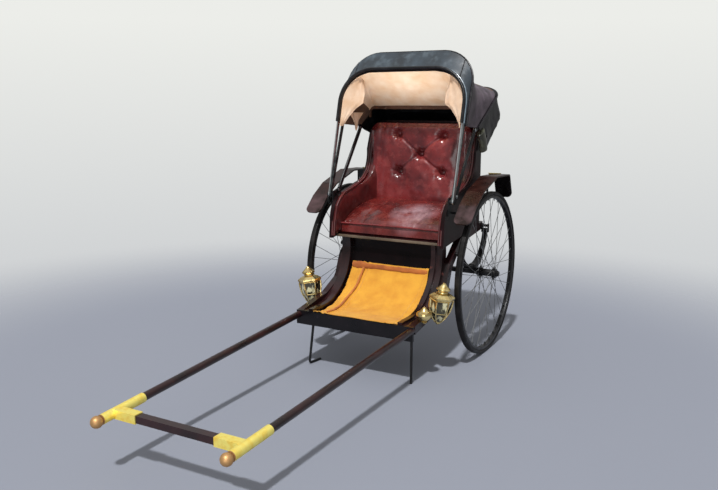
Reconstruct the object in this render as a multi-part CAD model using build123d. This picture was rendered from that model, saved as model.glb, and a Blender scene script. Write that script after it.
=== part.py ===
from build123d import *
from collections import namedtuple
import math
import os

# Pulled rickshaw, in millimetres: +Z up, the shafts towards -Y, the viewer's right at +X.
# Every Y below is counted from the axle line; PLACE then puts the middle of the whole length at 0.

# Width of the seat body, from which the frame and the wheels are set out
BODY_HALF = 360
SIDE_WALL_T = 22

# Wheels
WHEEL_R = 475
WHEEL_GAP = 106
TRACK = 2 * (BODY_HALF + WHEEL_GAP)
TYRE_W = 34
TYRE_T = 21
RIM_W = 28
RIM_T = 18
SPOKES = 36
SPOKE_R = 1.6
HUB_LEN = 110
HUB_BARREL_R = 21
FLANGE_R = 34
FLANGE_T = 5
FLANGE_GAP = 76
HUB_END_R = 26
HUB_END_LEN = 12

# Axle
SPINDLE_R = 12
BEARING_GAP = 0.05
END_PLAY = 0.5
AXLE_BAR = 26
COLLAR_R = 20
COLLAR_T = 8
NUT_R = 17
NUT_T = 12

# Bent side members under the body, and the footwell rails inside them
SIDE_T = 36
SIDE_DEPTH = 44
MEMBER_OUT = BODY_HALF - 4
MEMBER_X = MEMBER_OUT - SIDE_T / 2
RAIL_OUT = MEMBER_OUT - 2 * SIDE_T

# Shafts
SHAFT_R = 18
SHAFT_REAR = (MEMBER_X + 1, -743, 307)
TEE_AT = (SHAFT_REAR[0] - 18, -2122, 238)
TEE_R = 21
TEE_SLEEVE = 150
TEE_SIDE = 105
TEE_NOSE = 78
TEE_BACK = 40
TEE_WALL = 4
BALL_R = 25
BAR_D = 36
BAR_H = 30

# Footwell
RAIL_T = 26
RAIL_DEPTH = 48
RAIL_LOW = 340
CHEEK_STEP = 14
CHEEK_DROP = 22
FLOOR_T = 14
FLOOR_DEPTH = 34
MAT_T = 5
MAT_HALF = RAIL_OUT - RAIL_T - 12
MAT_FRONT = -755
MAT_TOP = 540
APRON_HALF = MEMBER_OUT - 3
APRON_TOP = 329
APRON_BOTTOM = 252
APRON_Y = -770
APRON_T = 16
BEARER_Y = -680
BEARER_W = 40
BEARER_T = 30
LEG_R = 7
LEG_TOP_X = RAIL_OUT + SIDE_T / 2
FOOT = (LEG_TOP_X + 14, -711)
FOOT_TURN = (15, 90)

# Seat body
BODY_FRONT = -390
BODY_FRONT_Z = 676
BODY_REAR = 130
BODY_REAR_Z = 736
BODY_FLOOR_T = 16
FLOOR_BACK = 28
BACK_T = 22
BACK_TOP = 1345
BACK_CORNER = 70
ARM_FORWARD = 28
KNUCKLE = (8, 770)
SCROLL = (-382, 870)
ARM_FRONT = (-300, 930)
ARM_REAR = (-110, 975)
SWEEP = (5, 1040)
SWEEP_END = (42, 1170)
RISE_END = (78, 1265)
CREST = (97, 1292)
SIDE_TOP = 1300
SEAT_FRONT_Z = 758
SEAT_REAR_Z = 868
WING_PAD_T = 12
SEAT_HALF = BODY_HALF - SIDE_WALL_T - WING_PAD_T
BACK_FACE = 45
BACK_PAD_HALF = SEAT_HALF - 54
WING_BEND = (-230, -90)
WING_BEND_IN = 10
SEAT_LIP = 50
SEAT_FALL = 12
SEAT_CROWN = (-170, 832)
SOFT_GAP = 0.3
PAD_STEP = 4

# Leaf springs, midway between the side members and the axle's collars, as wide as the shackles leave room for
SPRING_X = (MEMBER_OUT + TRACK / 2 - HUB_LEN / 2 - END_PLAY - COLLAR_T) / 2
LINK_T = 4
LINK_GAP = 1
LINK_CLEAR = 2.25
LINK_W = 24
SPRING_W = 2 * (SPRING_X - MEMBER_OUT - LINK_CLEAR - LINK_T - LINK_GAP)
LEAVES = 4
LEAF_T = 7
SPRING_R = 221
SPRING_Y = -30
SPRING_PAD = 26
SPRING_Z = WHEEL_R + AXLE_BAR / 2 + SPRING_PAD + SPRING_R
SPRING_FRONT_DEG = 214
SPRING_REAR_DEG = 349
LEAF_STEP_DEG = 17
EYE_R = 13
CLAMP_W = 60

# Lamps: (height, radius) of the turned foot and crown, and of the six-sided glass body
LAMP = (MEMBER_OUT + 35, -549, 295)
LAMP_LEAN = 9
LAMP_STEM_R = 8
LAMP_ARM_AT = 29
LAMP_ARM = (22, 5)
LAMP_FOOT = [(0, 0), (0, 8), (8, 15), (18, 13), (24, 8), (40, 8), (40, 0)]
LAMP_PANES = [(38, 24), (140, 60), (150, 68), (158, 68), (172, 46), (178, 30)]
LAMP_CROWN = [(176, 0), (176, 28), (184, 26), (194, 37), (200, 36), (212, 22), (222, 12), (228, 9), (232, 0)]

# Fenders
FENDER_W = 100
FENDER_IN = TRACK / 2 - FENDER_W / 2
FENDER_T = 8
STAY_R = 6
STAY_X = FENDER_IN + 14
FENDER_CORNER = 32
FENDER_LINE = [(-432, 818), (-340, 905), (-232, 972), (-20, 1037), (205, 1032), (262, 893)]
STAYS = [(-300, 858), (60, 900)]

# Folding hood
PIVOT_Y = -360
PIVOT_Z = 925
PIN_R = 8
PIN_GAP = 0.05
IRON_T = 6
IRON_W = 24
IRON_GAP = 1.5
HOOP_T = 13
HOOP_W = 24
CLOTH_T = 3
FRONT_LEAN = 14
FRONT_TOP = 740
MIDDLE_LEAN = 19.5
MIDDLE_TOP = 858
SLEEVE_AT = 430
HOOP_CORNER = 195
STRUT_KNEE = (-285, 945)
STRUT_HEAD = (-20, 1300)
REAR_LEAN = 59.5
REAR_TOP = 471
REAR_CORNER = 120
CLOTH_FOOT = 20
SLAT_FRONT = 95
SLAT_REAR = 115
SLAT_LOW = 1413
SLAT_TOP = 1441
SLAT_DROP = 51
SLAT_END_T = 6
BRACKET_W = 44
BRACKET_H = 100
BRACKET_T = 6
BRACKET_BACK = 14
BRACKET_DROP = 30
PIN_OVER = 4
PIN_HEAD_R = 14
PIN_HEAD_T = 5

# Cloth edges between the hoops: where the plane starts, its lean, and the arch drawn on it
ClothEdge = namedtuple("ClothEdge", "y z lean narrower foot top corner")
WAIST = ClothEdge(-110, 1320, 40, 9, 0, 375, 215)
REAR_EDGES = [
    ClothEdge(60, 1235, 67, 0, 80, 405, 90),
    ClothEdge(130, 1195, 88, 10, 30, 115, 60),
]

SHAFT_REAR_END = Vector(*SHAFT_REAR)
TEE_CENTRE = Vector(*TEE_AT)
FORWARD = (TEE_CENTRE - SHAFT_REAR_END).normalized()
BALL_AT = TEE_CENTRE + FORWARD * (TEE_NOSE + BALL_R - 3)
PLACE = Pos(0, -(BALL_AT.Y - BALL_R + WHEEL_R) / 2, 0)

BODY_SLOPE = (BODY_REAR_Z - BODY_FRONT_Z) / (BODY_REAR - BODY_FRONT)
HANGER_Y = SPRING_Y + SPRING_R * math.cos(math.radians(SPRING_REAR_DEG))

IRON_IN = BODY_HALF + 11
REAR_IRON = IRON_IN
MIDDLE_IRON = REAR_IRON + IRON_T + IRON_GAP
FRONT_IRON = MIDDLE_IRON + IRON_T + IRON_GAP


def save(name, *solids):
    """Write one node, moved to its place in the part's frame."""
    os.makedirs("parts", exist_ok=True)
    shape = solids[0] if len(solids) == 1 else Compound(children=list(solids))
    export_step(PLACE * shape, f"parts/{name}.step")


def flip(shape):
    """The same shape on the other side of the middle plane."""
    return mirror(shape, about=Plane.YZ)


def plate(edges, x_low, x_high):
    """A board whose outline lies in the side view, from x_low to x_high."""
    face = make_face(edges)
    return extrude(Plane.YZ.offset(x_low) * face, x_high - x_low)


def side_wire(edges):
    return Wire([Plane.YZ * edge for edge in edges.edges()])


def strip(edges, x_mid, width, depth):
    """A bar of width by depth bent along a line of the side view."""
    path = side_wire(edges)
    start = path @ 0
    section = Plane(origin=start, x_dir=(1, 0, 0), z_dir=path % 0) * Rectangle(width, depth)
    return Pos(x_mid, 0, 0) * sweep(section, path)


def rod(points, radius, bend=20):
    """A round rod along straight runs with bent corners."""
    path = Line(*points) if len(points) == 2 else FilletPolyline(*points, radius=bend)
    section = Plane(origin=path @ 0, z_dir=path % 0) * Circle(radius)
    return sweep(section, path)


def turned(points):
    """A solid turned about X from (along, radius) points."""
    return revolve(make_face(Polyline(*points, close=True)), Axis.X)


def body_bottom(y):
    """Height of the seat body's under side, which rises to the rear."""
    return BODY_FRONT_Z + (y - BODY_FRONT) * BODY_SLOPE


# Lines of the side view
def rail_line(back=0.0):
    """Front edge of the footwell rail, moved back by a distance."""
    behind_apron = APRON_Y + APRON_T / 2
    bottom = RAIL_LOW - back
    knee = (-394 + back * 0.8, 470 - back * 0.6)
    low = Line((behind_apron, bottom), (-640, bottom))
    bend = ThreePointArc((-640, bottom), (-487 + back * 0.35, 384 - back * 0.94), knee)
    rise = ThreePointArc(knee, (-350 + back, 575), (-352 + back, body_bottom(-352)))
    return low + bend + rise


def side_line():
    """Middle of the bent side member, from the shaft's rear end to the spring shackle."""
    top_front = -130
    drop = SIDE_DEPTH / 2 / math.cos(math.atan(BODY_SLOPE))
    points = [
        (APRON_Y + APRON_T / 2 + 5, SHAFT_REAR[2]),
        (-500, 352),
        (-345, 425),
        (-288, 560),
        (top_front, body_bottom(top_front) - drop),
        (HANGER_Y + 16, body_bottom(HANGER_Y + 16) - drop),
    ]
    return FilletPolyline(*points, radius=70)


# Wheels
def tyre():
    low = WHEEL_R - TYRE_T
    section = Pos(0, (WHEEL_R + low) / 2) * RectangleRounded(TYRE_W, TYRE_T, 9)
    return revolve(section, Axis.X)


def wire_wheel():
    rim_top = WHEEL_R - TYRE_T
    rim_low = rim_top - RIM_T
    rim = revolve(Pos(0, (rim_top + rim_low) / 2) * RectangleRounded(RIM_W, RIM_T, 5), Axis.X)
    half = HUB_LEN / 2
    bore = SPINDLE_R + BEARING_GAP
    flange_in = FLANGE_GAP / 2
    flange_out = flange_in + FLANGE_T
    hub = turned([
        (-half, bore), (half, bore), (half, HUB_END_R), (half - HUB_END_LEN, HUB_END_R),
        (flange_out, HUB_BARREL_R), (flange_out, FLANGE_R), (flange_in, FLANGE_R),
        (flange_in, HUB_BARREL_R), (-flange_in, HUB_BARREL_R), (-flange_in, FLANGE_R),
        (-flange_out, FLANGE_R), (-flange_out, HUB_BARREL_R), (-half + HUB_END_LEN, HUB_END_R),
        (-half, HUB_END_R),
    ])
    spokes = []
    hole_r = FLANGE_R - 5
    for number in range(SPOKES):
        side = 1 if number % 2 else -1
        lean = 62 if number % 4 < 2 else -62
        rim_turn = 360 * number / SPOKES
        start = Vector(side * (flange_in + FLANGE_T / 2), hole_r, 0).rotate(Axis.X, rim_turn + lean)
        end = Vector(side * 3, rim_low + 3, 0).rotate(Axis.X, rim_turn)
        section = Plane(origin=start, z_dir=end - start) * RegularPolygon(SPOKE_R, 6)
        spokes.append(extrude(section, (end - start).length))
    return hub + spokes + rim


# Axle and springs
def axle():
    inner = TRACK / 2 - HUB_LEN / 2 - END_PLAY
    outer = TRACK / 2 + HUB_LEN / 2 + END_PLAY
    bar = Box(2 * (inner - COLLAR_T), AXLE_BAR, AXLE_BAR)
    spindle = Rot(0, 90, 0) * Cylinder(SPINDLE_R, 2 * (outer + NUT_T + 4))
    ends = []
    for side in (-1, 1):
        ends.append(Pos(side * (inner - COLLAR_T / 2), 0, 0) * Rot(0, 90, 0) * Cylinder(COLLAR_R, COLLAR_T))
        nut = extrude(RegularPolygon(NUT_R, 6), NUT_T / 2, both=True)
        ends.append(Pos(side * (outer + NUT_T / 2), 0, 0) * Rot(0, 90, 0) * nut)
    return Pos(0, 0, WHEEL_R) * (bar + spindle + ends)


def spring_point(radius, degrees):
    angle = math.radians(degrees)
    return (SPRING_Y + radius * math.cos(angle), SPRING_Z + radius * math.sin(angle))


def leaf(radius, first, last):
    inner = radius - LEAF_T / 2
    outer = radius + LEAF_T / 2
    middle = (first + last) / 2
    edges = ThreePointArc(spring_point(inner, first), spring_point(inner, middle), spring_point(inner, last))
    edges += Line(spring_point(inner, last), spring_point(outer, last))
    edges += ThreePointArc(spring_point(outer, last), spring_point(outer, middle), spring_point(outer, first))
    edges += Line(spring_point(outer, first), spring_point(inner, first))
    return plate(edges, SPRING_X - SPRING_W / 2, SPRING_X + SPRING_W / 2)


def spring():
    pack = leaf(SPRING_R, SPRING_FRONT_DEG, SPRING_REAR_DEG)
    middle = (SPRING_FRONT_DEG + SPRING_REAR_DEG) / 2
    half = (SPRING_REAR_DEG - SPRING_FRONT_DEG) / 2
    for number in range(1, LEAVES):
        reach = half - number * LEAF_STEP_DEG
        pack += leaf(SPRING_R + number * LEAF_T, middle - reach, middle + reach)
    for degrees in (SPRING_FRONT_DEG, SPRING_REAR_DEG):
        y, z = spring_point(SPRING_R, degrees)
        pack += Pos(SPRING_X, y, z) * Rot(0, 90, 0) * Cylinder(EYE_R, SPRING_W)
    y, z = spring_point(SPRING_R, SPRING_FRONT_DEG)
    pack += pin_across(MEMBER_OUT, SPRING_X, y, z, 8)
    low = WHEEL_R + AXLE_BAR / 2
    top = SPRING_Z - SPRING_R + LEAF_T
    pack += Pos(SPRING_X, 0, (low + top) / 2) * Box(SPRING_W + 4, CLAMP_W, top - low)
    return pack


def pin_across(x_low, x_high, y, z, radius):
    middle = Pos((x_low + x_high) / 2, y, z)
    return middle * Rot(0, 90, 0) * Cylinder(radius, x_high - x_low)


def shackle():
    """Square link between the spring's rear eye and the side member's rear end."""
    y, z = spring_point(SPRING_R, SPRING_REAR_DEG)
    hanger_z = body_bottom(y) - SIDE_DEPTH / 2
    cheek_x = SPRING_W / 2 + LINK_GAP + LINK_T / 2
    link = pin_across(MEMBER_OUT, SPRING_X + cheek_x, y, hanger_z, 8)
    link += pin_across(SPRING_X - cheek_x, SPRING_X + cheek_x, y, z, 7)
    for side in (-1, 1):
        link += Pos(SPRING_X + side * cheek_x, y, (z + hanger_z) / 2) * Box(LINK_T, LINK_W, hanger_z - z + LINK_W)
    return link - pin_across(SPRING_X - SPRING_W / 2, SPRING_X + SPRING_W / 2, y, z, EYE_R)


def build_running_gear():
    for name, side in (("left", -1), ("right", 1)):
        at = Pos(side * TRACK / 2, 0, WHEEL_R)
        save(f"tyre_{name}", at * tyre())
        save(f"wire_wheel_{name}", at * wire_wheel())
    save("axle", axle())
    right = spring()
    save("spring_right", right)
    save("spring_left", flip(right))
    link = shackle()
    save("spring_shackles", link, flip(link))


# Shafts
def build_shafts():
    front = TEE_CENTRE
    turned_axis = Plane(origin=front, x_dir=(1, 0, 0), z_dir=FORWARD)
    shaft = rod([SHAFT_REAR_END, front - FORWARD * TEE_BACK], SHAFT_R)
    ring = extrude(Circle(TEE_R) - Circle(SHAFT_R), TEE_SLEEVE - TEE_BACK)
    sleeve = turned_axis * Pos(0, 0, -TEE_SLEEVE) * ring
    hub = turned_axis * Pos(0, 0, -TEE_BACK) * extrude(Circle(TEE_R), TEE_BACK + TEE_NOSE)
    ball = Pos(*BALL_AT) * Sphere(BALL_R)
    bar_end = front.X - TEE_SIDE
    mouth = bar_end - TEE_BACK / 2
    box = Box(front.X - mouth, BAR_D + 2 * TEE_WALL, BAR_H + 2 * TEE_WALL)
    side = Pos((front.X + mouth) / 2, front.Y, front.Z) * box
    cross = Pos(0, front.Y, front.Z) * Box(2 * bar_end, BAR_D, BAR_H)
    tee = hub + sleeve + ball + side - cross
    save("shaft_right", shaft)
    save("shaft_left", flip(shaft))
    save("tee_right", tee)
    save("tee_left", flip(tee))
    save("cross_bar", cross)


# Frame under the body and the footwell
def build_footwell():
    shaft_end = rod([SHAFT_REAR_END + FORWARD * 60, SHAFT_REAR_END], SHAFT_R)
    member = strip(side_line(), MEMBER_X, SIDE_T, SIDE_DEPTH) - shaft_end
    save("side_member_right", member)
    save("side_member_left", flip(member))

    rail = rail_band(RAIL_OUT - RAIL_T, RAIL_OUT, 0, RAIL_DEPTH)
    save("foot_rail_right", rail)
    save("foot_rail_left", flip(rail))
    cheek = rail_band(RAIL_OUT, RAIL_OUT + SIDE_T, CHEEK_STEP, RAIL_DEPTH + CHEEK_DROP)
    save("foot_cheek_right", cheek)
    save("foot_cheek_left", flip(cheek))

    inner = RAIL_OUT - RAIL_T
    floor = rail_band(-inner, inner, FLOOR_DEPTH, FLOOR_DEPTH + FLOOR_T)
    save("foot_floor", floor)
    mat = rail_band(-MAT_HALF, MAT_HALF, FLOOR_DEPTH - MAT_T - SOFT_GAP, FLOOR_DEPTH - SOFT_GAP)
    keep = Pos(0, 0, MAT_TOP / 2) * Box(2 * MAT_HALF, -2 * MAT_FRONT, MAT_TOP)
    save("foot_mat", mat & keep)

    height = APRON_TOP - APRON_BOTTOM
    apron = Pos(0, APRON_Y, (APRON_TOP + APRON_BOTTOM) / 2) * Box(2 * APRON_HALF, APRON_T, height)
    notch = rod([SHAFT_REAR_END - FORWARD * 60, SHAFT_REAR_END + FORWARD * 60], SHAFT_R + SOFT_GAP)
    save("apron_board", apron - notch - flip(notch))

    bearer_top = RAIL_LOW - RAIL_DEPTH
    bearer = Pos(0, BEARER_Y, bearer_top - BEARER_T / 2) * Box(2 * RAIL_OUT, BEARER_W, BEARER_T)
    save("foot_bearer", bearer)
    leg_top = RAIL_LOW - RAIL_DEPTH - CHEEK_DROP
    head = Vector(LEG_TOP_X, BEARER_Y, leg_top)
    foot = Vector(*FOOT, 0)
    past = (head - foot).normalized() * 2 * LEG_R
    room = Pos(0, BEARER_Y, leg_top / 2) * Box(4 * LEG_TOP_X, 400, leg_top)
    save("leg_right", rod([head + past, foot - past], LEG_R) & room)
    left_foot = Vector(-foot.X, foot.Y, LEG_R)
    toe = left_foot + Vector(*FOOT_TURN, 0)
    bent = [Vector(-head.X - past.X, head.Y + past.Y, head.Z + past.Z), left_foot, toe]
    save("leg_left", rod(bent, LEG_R, 2 * LEG_R) & room)


def rail_band(x_low, x_high, front, back):
    """A board between two lines set back from the rail's front edge."""
    near = rail_line(front)
    far = rail_line(back)
    edges = near + Line(near @ 1, far @ 1) + far + Line(far @ 0, near @ 0)
    return plate(edges, x_low, x_high)


# Seat body
def side_outline(inset=0.0):
    """Outline of the body's side: a scrolled arm that sweeps up to the back."""
    foot = (BODY_FRONT - ARM_FORWARD + inset, BODY_FRONT_Z)
    knuckle = (foot[0] + KNUCKLE[0], KNUCKLE[1])
    scroll = (SCROLL[0] + inset, SCROLL[1] - inset)
    arm_front = (ARM_FRONT[0], ARM_FRONT[1] - inset)
    arm_rear = (ARM_REAR[0], ARM_REAR[1] - inset)
    sweep = (SWEEP[0], SWEEP[1] - inset / 2)
    sweep_end = (SWEEP_END[0] + inset / 2, SWEEP_END[1])
    rise_end = (RISE_END[0] + inset / 2, RISE_END[1])
    crest = (CREST[0], CREST[1] - inset)
    top = (BODY_REAR, SIDE_TOP - inset)
    heel = (BODY_REAR, body_bottom(BODY_REAR))
    front_edge = Line(foot, knuckle) + ThreePointArc(knuckle, scroll, arm_front)
    arm = Line(arm_front, arm_rear) + ThreePointArc(arm_rear, sweep, sweep_end)
    back = Line(sweep_end, rise_end) + ThreePointArc(rise_end, crest, top)
    return front_edge + arm + back + Line(top, heel) + Line(heel, foot)


def upright(half, low, top, corner, y_low, y_high):
    """A board that stands across the body, its two top corners rounded."""
    face = Pos(0, (low + top) / 2) * Rectangle(2 * half, top - low)
    face = fillet(face.vertices().group_by(Axis.Y)[-1], corner)
    return extrude(Plane.XZ.offset(-y_high) * face, y_high - y_low)


def build_body():
    wall = plate(side_outline(), BODY_HALF - SIDE_WALL_T, BODY_HALF)
    save("body_side_right", wall)
    save("body_side_left", flip(wall))
    inner = BODY_HALF - SIDE_WALL_T
    front = BODY_FRONT + FLOOR_BACK
    rear = BODY_REAR
    low = (body_bottom(front), body_bottom(rear))
    top = (low[0] + BODY_FLOOR_T, low[1] + BODY_FLOOR_T)
    bottom = Polyline((front, low[0]), (rear, low[1]), (rear, top[1]), (front, top[0]), close=True)
    save("body_floor", plate(bottom, -inner, inner))
    save("body_back", upright(inner, top[1], BACK_TOP, BACK_CORNER, rear - BACK_T, rear))


def cavity(gap):
    """Room between the wings in plan: straight sides that round in to the back."""
    front = SEAT_HALF - gap
    rear = BACK_PAD_HALF - gap
    start = BODY_FRONT - 2 * ARM_FORWARD
    bend, middle = WING_BEND
    side = Line((front, start), (front, bend))
    curve = ThreePointArc((front, bend), (front - WING_BEND_IN, middle), (rear, BACK_FACE))
    across = Line((rear, BACK_FACE), (-rear, BACK_FACE))
    other = ThreePointArc((-rear, BACK_FACE), (-front + WING_BEND_IN, middle), (-front, bend))
    back = Line((-front, bend), (-front, start)) + Line((-front, start), (front, start))
    low = BODY_FRONT_Z - ARM_FORWARD
    return Pos(0, 0, low) * extrude(make_face(side + curve + across + other + back), BACK_TOP)


def build_soft():
    inner = BODY_HALF - SIDE_WALL_T - SOFT_GAP
    face = BACK_FACE
    lift = BODY_FLOOR_T + SOFT_GAP
    lip = (BODY_FRONT + SEAT_LIP, SEAT_FRONT_Z)
    front = (lip[0] - SEAT_FALL, body_bottom(lip[0] - SEAT_FALL) + lift)
    top_rear = (face - SOFT_GAP, SEAT_REAR_Z)
    low_rear = (face - SOFT_GAP, body_bottom(face) + lift)
    outline = Line(front, lip) + ThreePointArc(lip, SEAT_CROWN, top_rear)
    outline += Line(top_rear, low_rear) + Line(low_rear, front)
    save("seat_cushion", plate(outline, -SEAT_HALF, SEAT_HALF) & cavity(SOFT_GAP))

    back_low = body_bottom(BODY_REAR) + BODY_FLOOR_T + 1
    pad_rear = BODY_REAR - BACK_T - SOFT_GAP
    save("back_cushion", upright(inner, back_low, BACK_TOP - PAD_STEP, BACK_CORNER - PAD_STEP, face, pad_rear))

    blank = plate(side_outline(PAD_STEP), 0, inner)
    first = 2 * BODY_FRONT
    last = face - SOFT_GAP
    floor_line = [(first, body_bottom(first) + lift), (last, body_bottom(last) + lift)]
    above = plate(Polyline(*floor_line, (last, BACK_TOP), (first, BACK_TOP), close=True), 0, inner)
    wing = ((blank & above) - cavity(0)).solids().sort_by(SortBy.VOLUME)[-1]
    save("wing_pad_right", wing)
    save("wing_pad_left", flip(wing))


# Lamps
def build_lamps():
    x, y, z = LAMP
    upright_axis = Rot(0, -90, 0)
    panes = loft([Pos(0, 0, h) * RegularPolygon(r, 6, rotation=30) for h, r in LAMP_PANES], ruled=True)
    lamp = panes + upright_axis * turned(LAMP_FOOT) + upright_axis * turned(LAMP_CROWN)
    lamp = Pos(x, y, z) * Rot(0, LAMP_LEAN, 0) * lamp
    stem = x + LAMP_ARM_AT * math.sin(math.radians(LAMP_LEAN)) - LAMP_STEM_R
    arm_len = stem - 2 * SOFT_GAP - MEMBER_OUT
    arm = Pos(MEMBER_OUT + arm_len / 2, y, z + LAMP_ARM_AT) * Box(arm_len, *LAMP_ARM)
    save("lamp_right", lamp)
    save("lamp_left", flip(lamp))
    save("lamp_arms", arm, flip(arm))


# Fenders
def build_fenders():
    middle = FENDER_IN + FENDER_W / 2
    line = FilletPolyline(*FENDER_LINE, radius=18)
    board = strip(line, middle, FENDER_W, FENDER_T)
    tips = [Vector(middle, *FENDER_LINE[0]), Vector(middle, *FENDER_LINE[-1])]
    corners = []
    for edge in board.edges():
        at_tip = min((edge.center() - tip).length for tip in tips) < FENDER_W * 0.6
        if at_tip and abs(edge.length - FENDER_T) < 0.1:
            corners.append(edge)
    board = fillet(corners, FENDER_CORNER)
    save("fender_right", board)
    save("fender_left", flip(board))
    stays = []
    over = max(z for y, z in FENDER_LINE) + FENDER_T
    for y, low in STAYS:
        points = [(BODY_HALF, y, low), (STAY_X, y, low), (STAY_X, y, over)]
        stay = rod(points, STAY_R, 2 * STAY_R) - board
        stays.append(stay.solids().sort_by(Axis.Z)[0])
    save("fender_stays", *stays, *[flip(stay) for stay in stays])


# Folding hood
def hoop_plane(y, z, lean, shift=0.0):
    """Plane of a hoop that leans back from the vertical, moved along its own normal."""
    angle = math.radians(lean)
    across = Vector(0, math.cos(angle), -math.sin(angle))
    origin = Vector(0, y, z) + across * shift
    return Plane(origin=origin, x_dir=(1, 0, 0), z_dir=-across)


def hoop_face(half, thick, foot, top, corner):
    """An arch of a given thickness, flat on top with round corners."""
    outer = (
        Line((-half, foot), (-half, top - corner))
        + RadiusArc((-half, top - corner), (-half + corner, top), corner)
        + Line((-half + corner, top), (half - corner, top))
        + RadiusArc((half - corner, top), (half, top - corner), corner)
        + Line((half, top - corner), (half, foot))
    )
    in_half = half - thick
    in_top = top - thick
    in_corner = corner - thick
    inner = (
        Line((half, foot), (in_half, foot))
        + Line((in_half, foot), (in_half, in_top - in_corner))
        + RadiusArc((in_half, in_top - in_corner), (in_half - in_corner, in_top), -in_corner)
        + Line((in_half - in_corner, in_top), (-in_half + in_corner, in_top))
        + RadiusArc((-in_half + in_corner, in_top), (-in_half, in_top - in_corner), -in_corner)
        + Line((-in_half, in_top - in_corner), (-in_half, foot))
        + Line((-in_half, foot), (-half, foot))
    )
    return make_face(outer + inner)


def hoop(y, z, lean, half, foot, top, corner):
    face = hoop_plane(y, z, lean) * hoop_face(half, HOOP_T, foot, top, corner)
    return extrude(face, HOOP_W / 2, both=True)


def iron(x_low, start, end, flat_end=True):
    """A flat iron in the side view from one point to another, with a round eye at the start."""
    run = Vector(end[0] - start[0], end[1] - start[1])
    turn = math.degrees(math.atan2(run.Y, run.X))
    bar = Pos(*start) * Rot(0, 0, turn) * Pos(run.length / 2, 0) * Rectangle(run.length, IRON_W)
    bar += Pos(*start) * Circle(IRON_W / 2 + 2)
    if not flat_end:
        bar += Pos(*end) * Circle(IRON_W / 2)
    return extrude(Plane.YZ.offset(x_low) * bar, IRON_T)


def build_hood():
    pivot = (PIVOT_Y, PIVOT_Z)
    bore = Pos(0, *pivot) * Rot(0, 90, 0) * Cylinder(PIN_R + PIN_GAP, 4 * BODY_HALF)
    half = FRONT_IRON + IRON_T
    rear_half = REAR_IRON + HOOP_T
    shift = HOOP_W / 2 + SOFT_GAP

    for name, lean, top, x_low in (
        ("front", FRONT_LEAN, FRONT_TOP, FRONT_IRON),
        ("middle", MIDDLE_LEAN, MIDDLE_TOP, MIDDLE_IRON),
    ):
        angle = math.radians(lean)
        end = (PIVOT_Y + SLEEVE_AT * math.sin(angle), PIVOT_Z + SLEEVE_AT * math.cos(angle))
        leg = iron(x_low, pivot, end) - bore
        save(f"hood_{name}_legs", leg, flip(leg))
        save(f"hood_{name}_hoop", hoop(*pivot, lean, half, SLEEVE_AT, top, HOOP_CORNER))

    strut = iron(REAR_IRON, pivot, STRUT_KNEE, False) + iron(REAR_IRON, STRUT_KNEE, STRUT_HEAD, False) - bore
    rear_hoop = hoop(*STRUT_HEAD, REAR_LEAN, rear_half, 0, REAR_TOP, REAR_CORNER)
    save("hood_rear_frame", rear_hoop + strut + flip(strut))

    def arch(lean, top, offset):
        return hoop_plane(*pivot, lean, offset) * hoop_face(half, CLOTH_T, SLEEVE_AT, top, HOOP_CORNER)

    def edge(line):
        face = hoop_face(rear_half - line.narrower, CLOTH_T, line.foot, line.top, line.corner)
        return hoop_plane(line.y, line.z, line.lean) * face

    def rear_arch(offset):
        face = hoop_face(rear_half, CLOTH_T, CLOTH_FOOT, REAR_TOP, REAR_CORNER)
        return hoop_plane(*STRUT_HEAD, REAR_LEAN, offset) * face

    front = arch(FRONT_LEAN, FRONT_TOP, shift)
    save("hood_cloth_front", loft([front, arch(MIDDLE_LEAN, MIDDLE_TOP, -shift)], ruled=True))
    middle = [arch(MIDDLE_LEAN, MIDDLE_TOP, shift), edge(WAIST), rear_arch(-shift)]
    save("hood_cloth_middle", loft(middle, ruled=True))
    rear = [rear_arch(shift)] + [edge(line) for line in REAR_EDGES]
    save("hood_cloth_rear", loft(rear, ruled=True))

    slat_y = (SLAT_FRONT + SLAT_REAR) / 2
    slat_d = SLAT_REAR - SLAT_FRONT
    slat_foot = SLAT_LOW - SLAT_DROP
    slat = Pos(0, slat_y, (SLAT_LOW + SLAT_TOP) / 2) * Box(2 * REAR_IRON, slat_d, SLAT_TOP - SLAT_LOW)
    for side in (-1, 1):
        end_x = side * (REAR_IRON - SLAT_END_T / 2)
        slat += Pos(end_x, slat_y, (slat_foot + SLAT_TOP) / 2) * Box(SLAT_END_T, slat_d, SLAT_TOP - slat_foot)
    save("hood_back_slat", slat)

    plate_face = Pos(PIVOT_Y + BRACKET_BACK, PIVOT_Z - BRACKET_DROP) * Rectangle(BRACKET_W, BRACKET_H)
    bracket = extrude(Plane.YZ.offset(BODY_HALF) * plate_face, BRACKET_T)
    pin_end = half + PIN_OVER
    pin = pin_across(BODY_HALF, pin_end, *pivot, PIN_R)
    head = pin_across(pin_end - PIN_HEAD_T / 2, pin_end + PIN_HEAD_T / 2, *pivot, PIN_HEAD_R)
    post = bracket + pin + head
    save("hood_pivots", post, flip(post))


build_running_gear()
build_shafts()
build_footwell()
build_body()
build_soft()
build_lamps()
build_fenders()
build_hood()
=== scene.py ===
import math
from collections import namedtuple

import bmesh
import bpy
from mathutils import Matrix, Vector, noise


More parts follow.
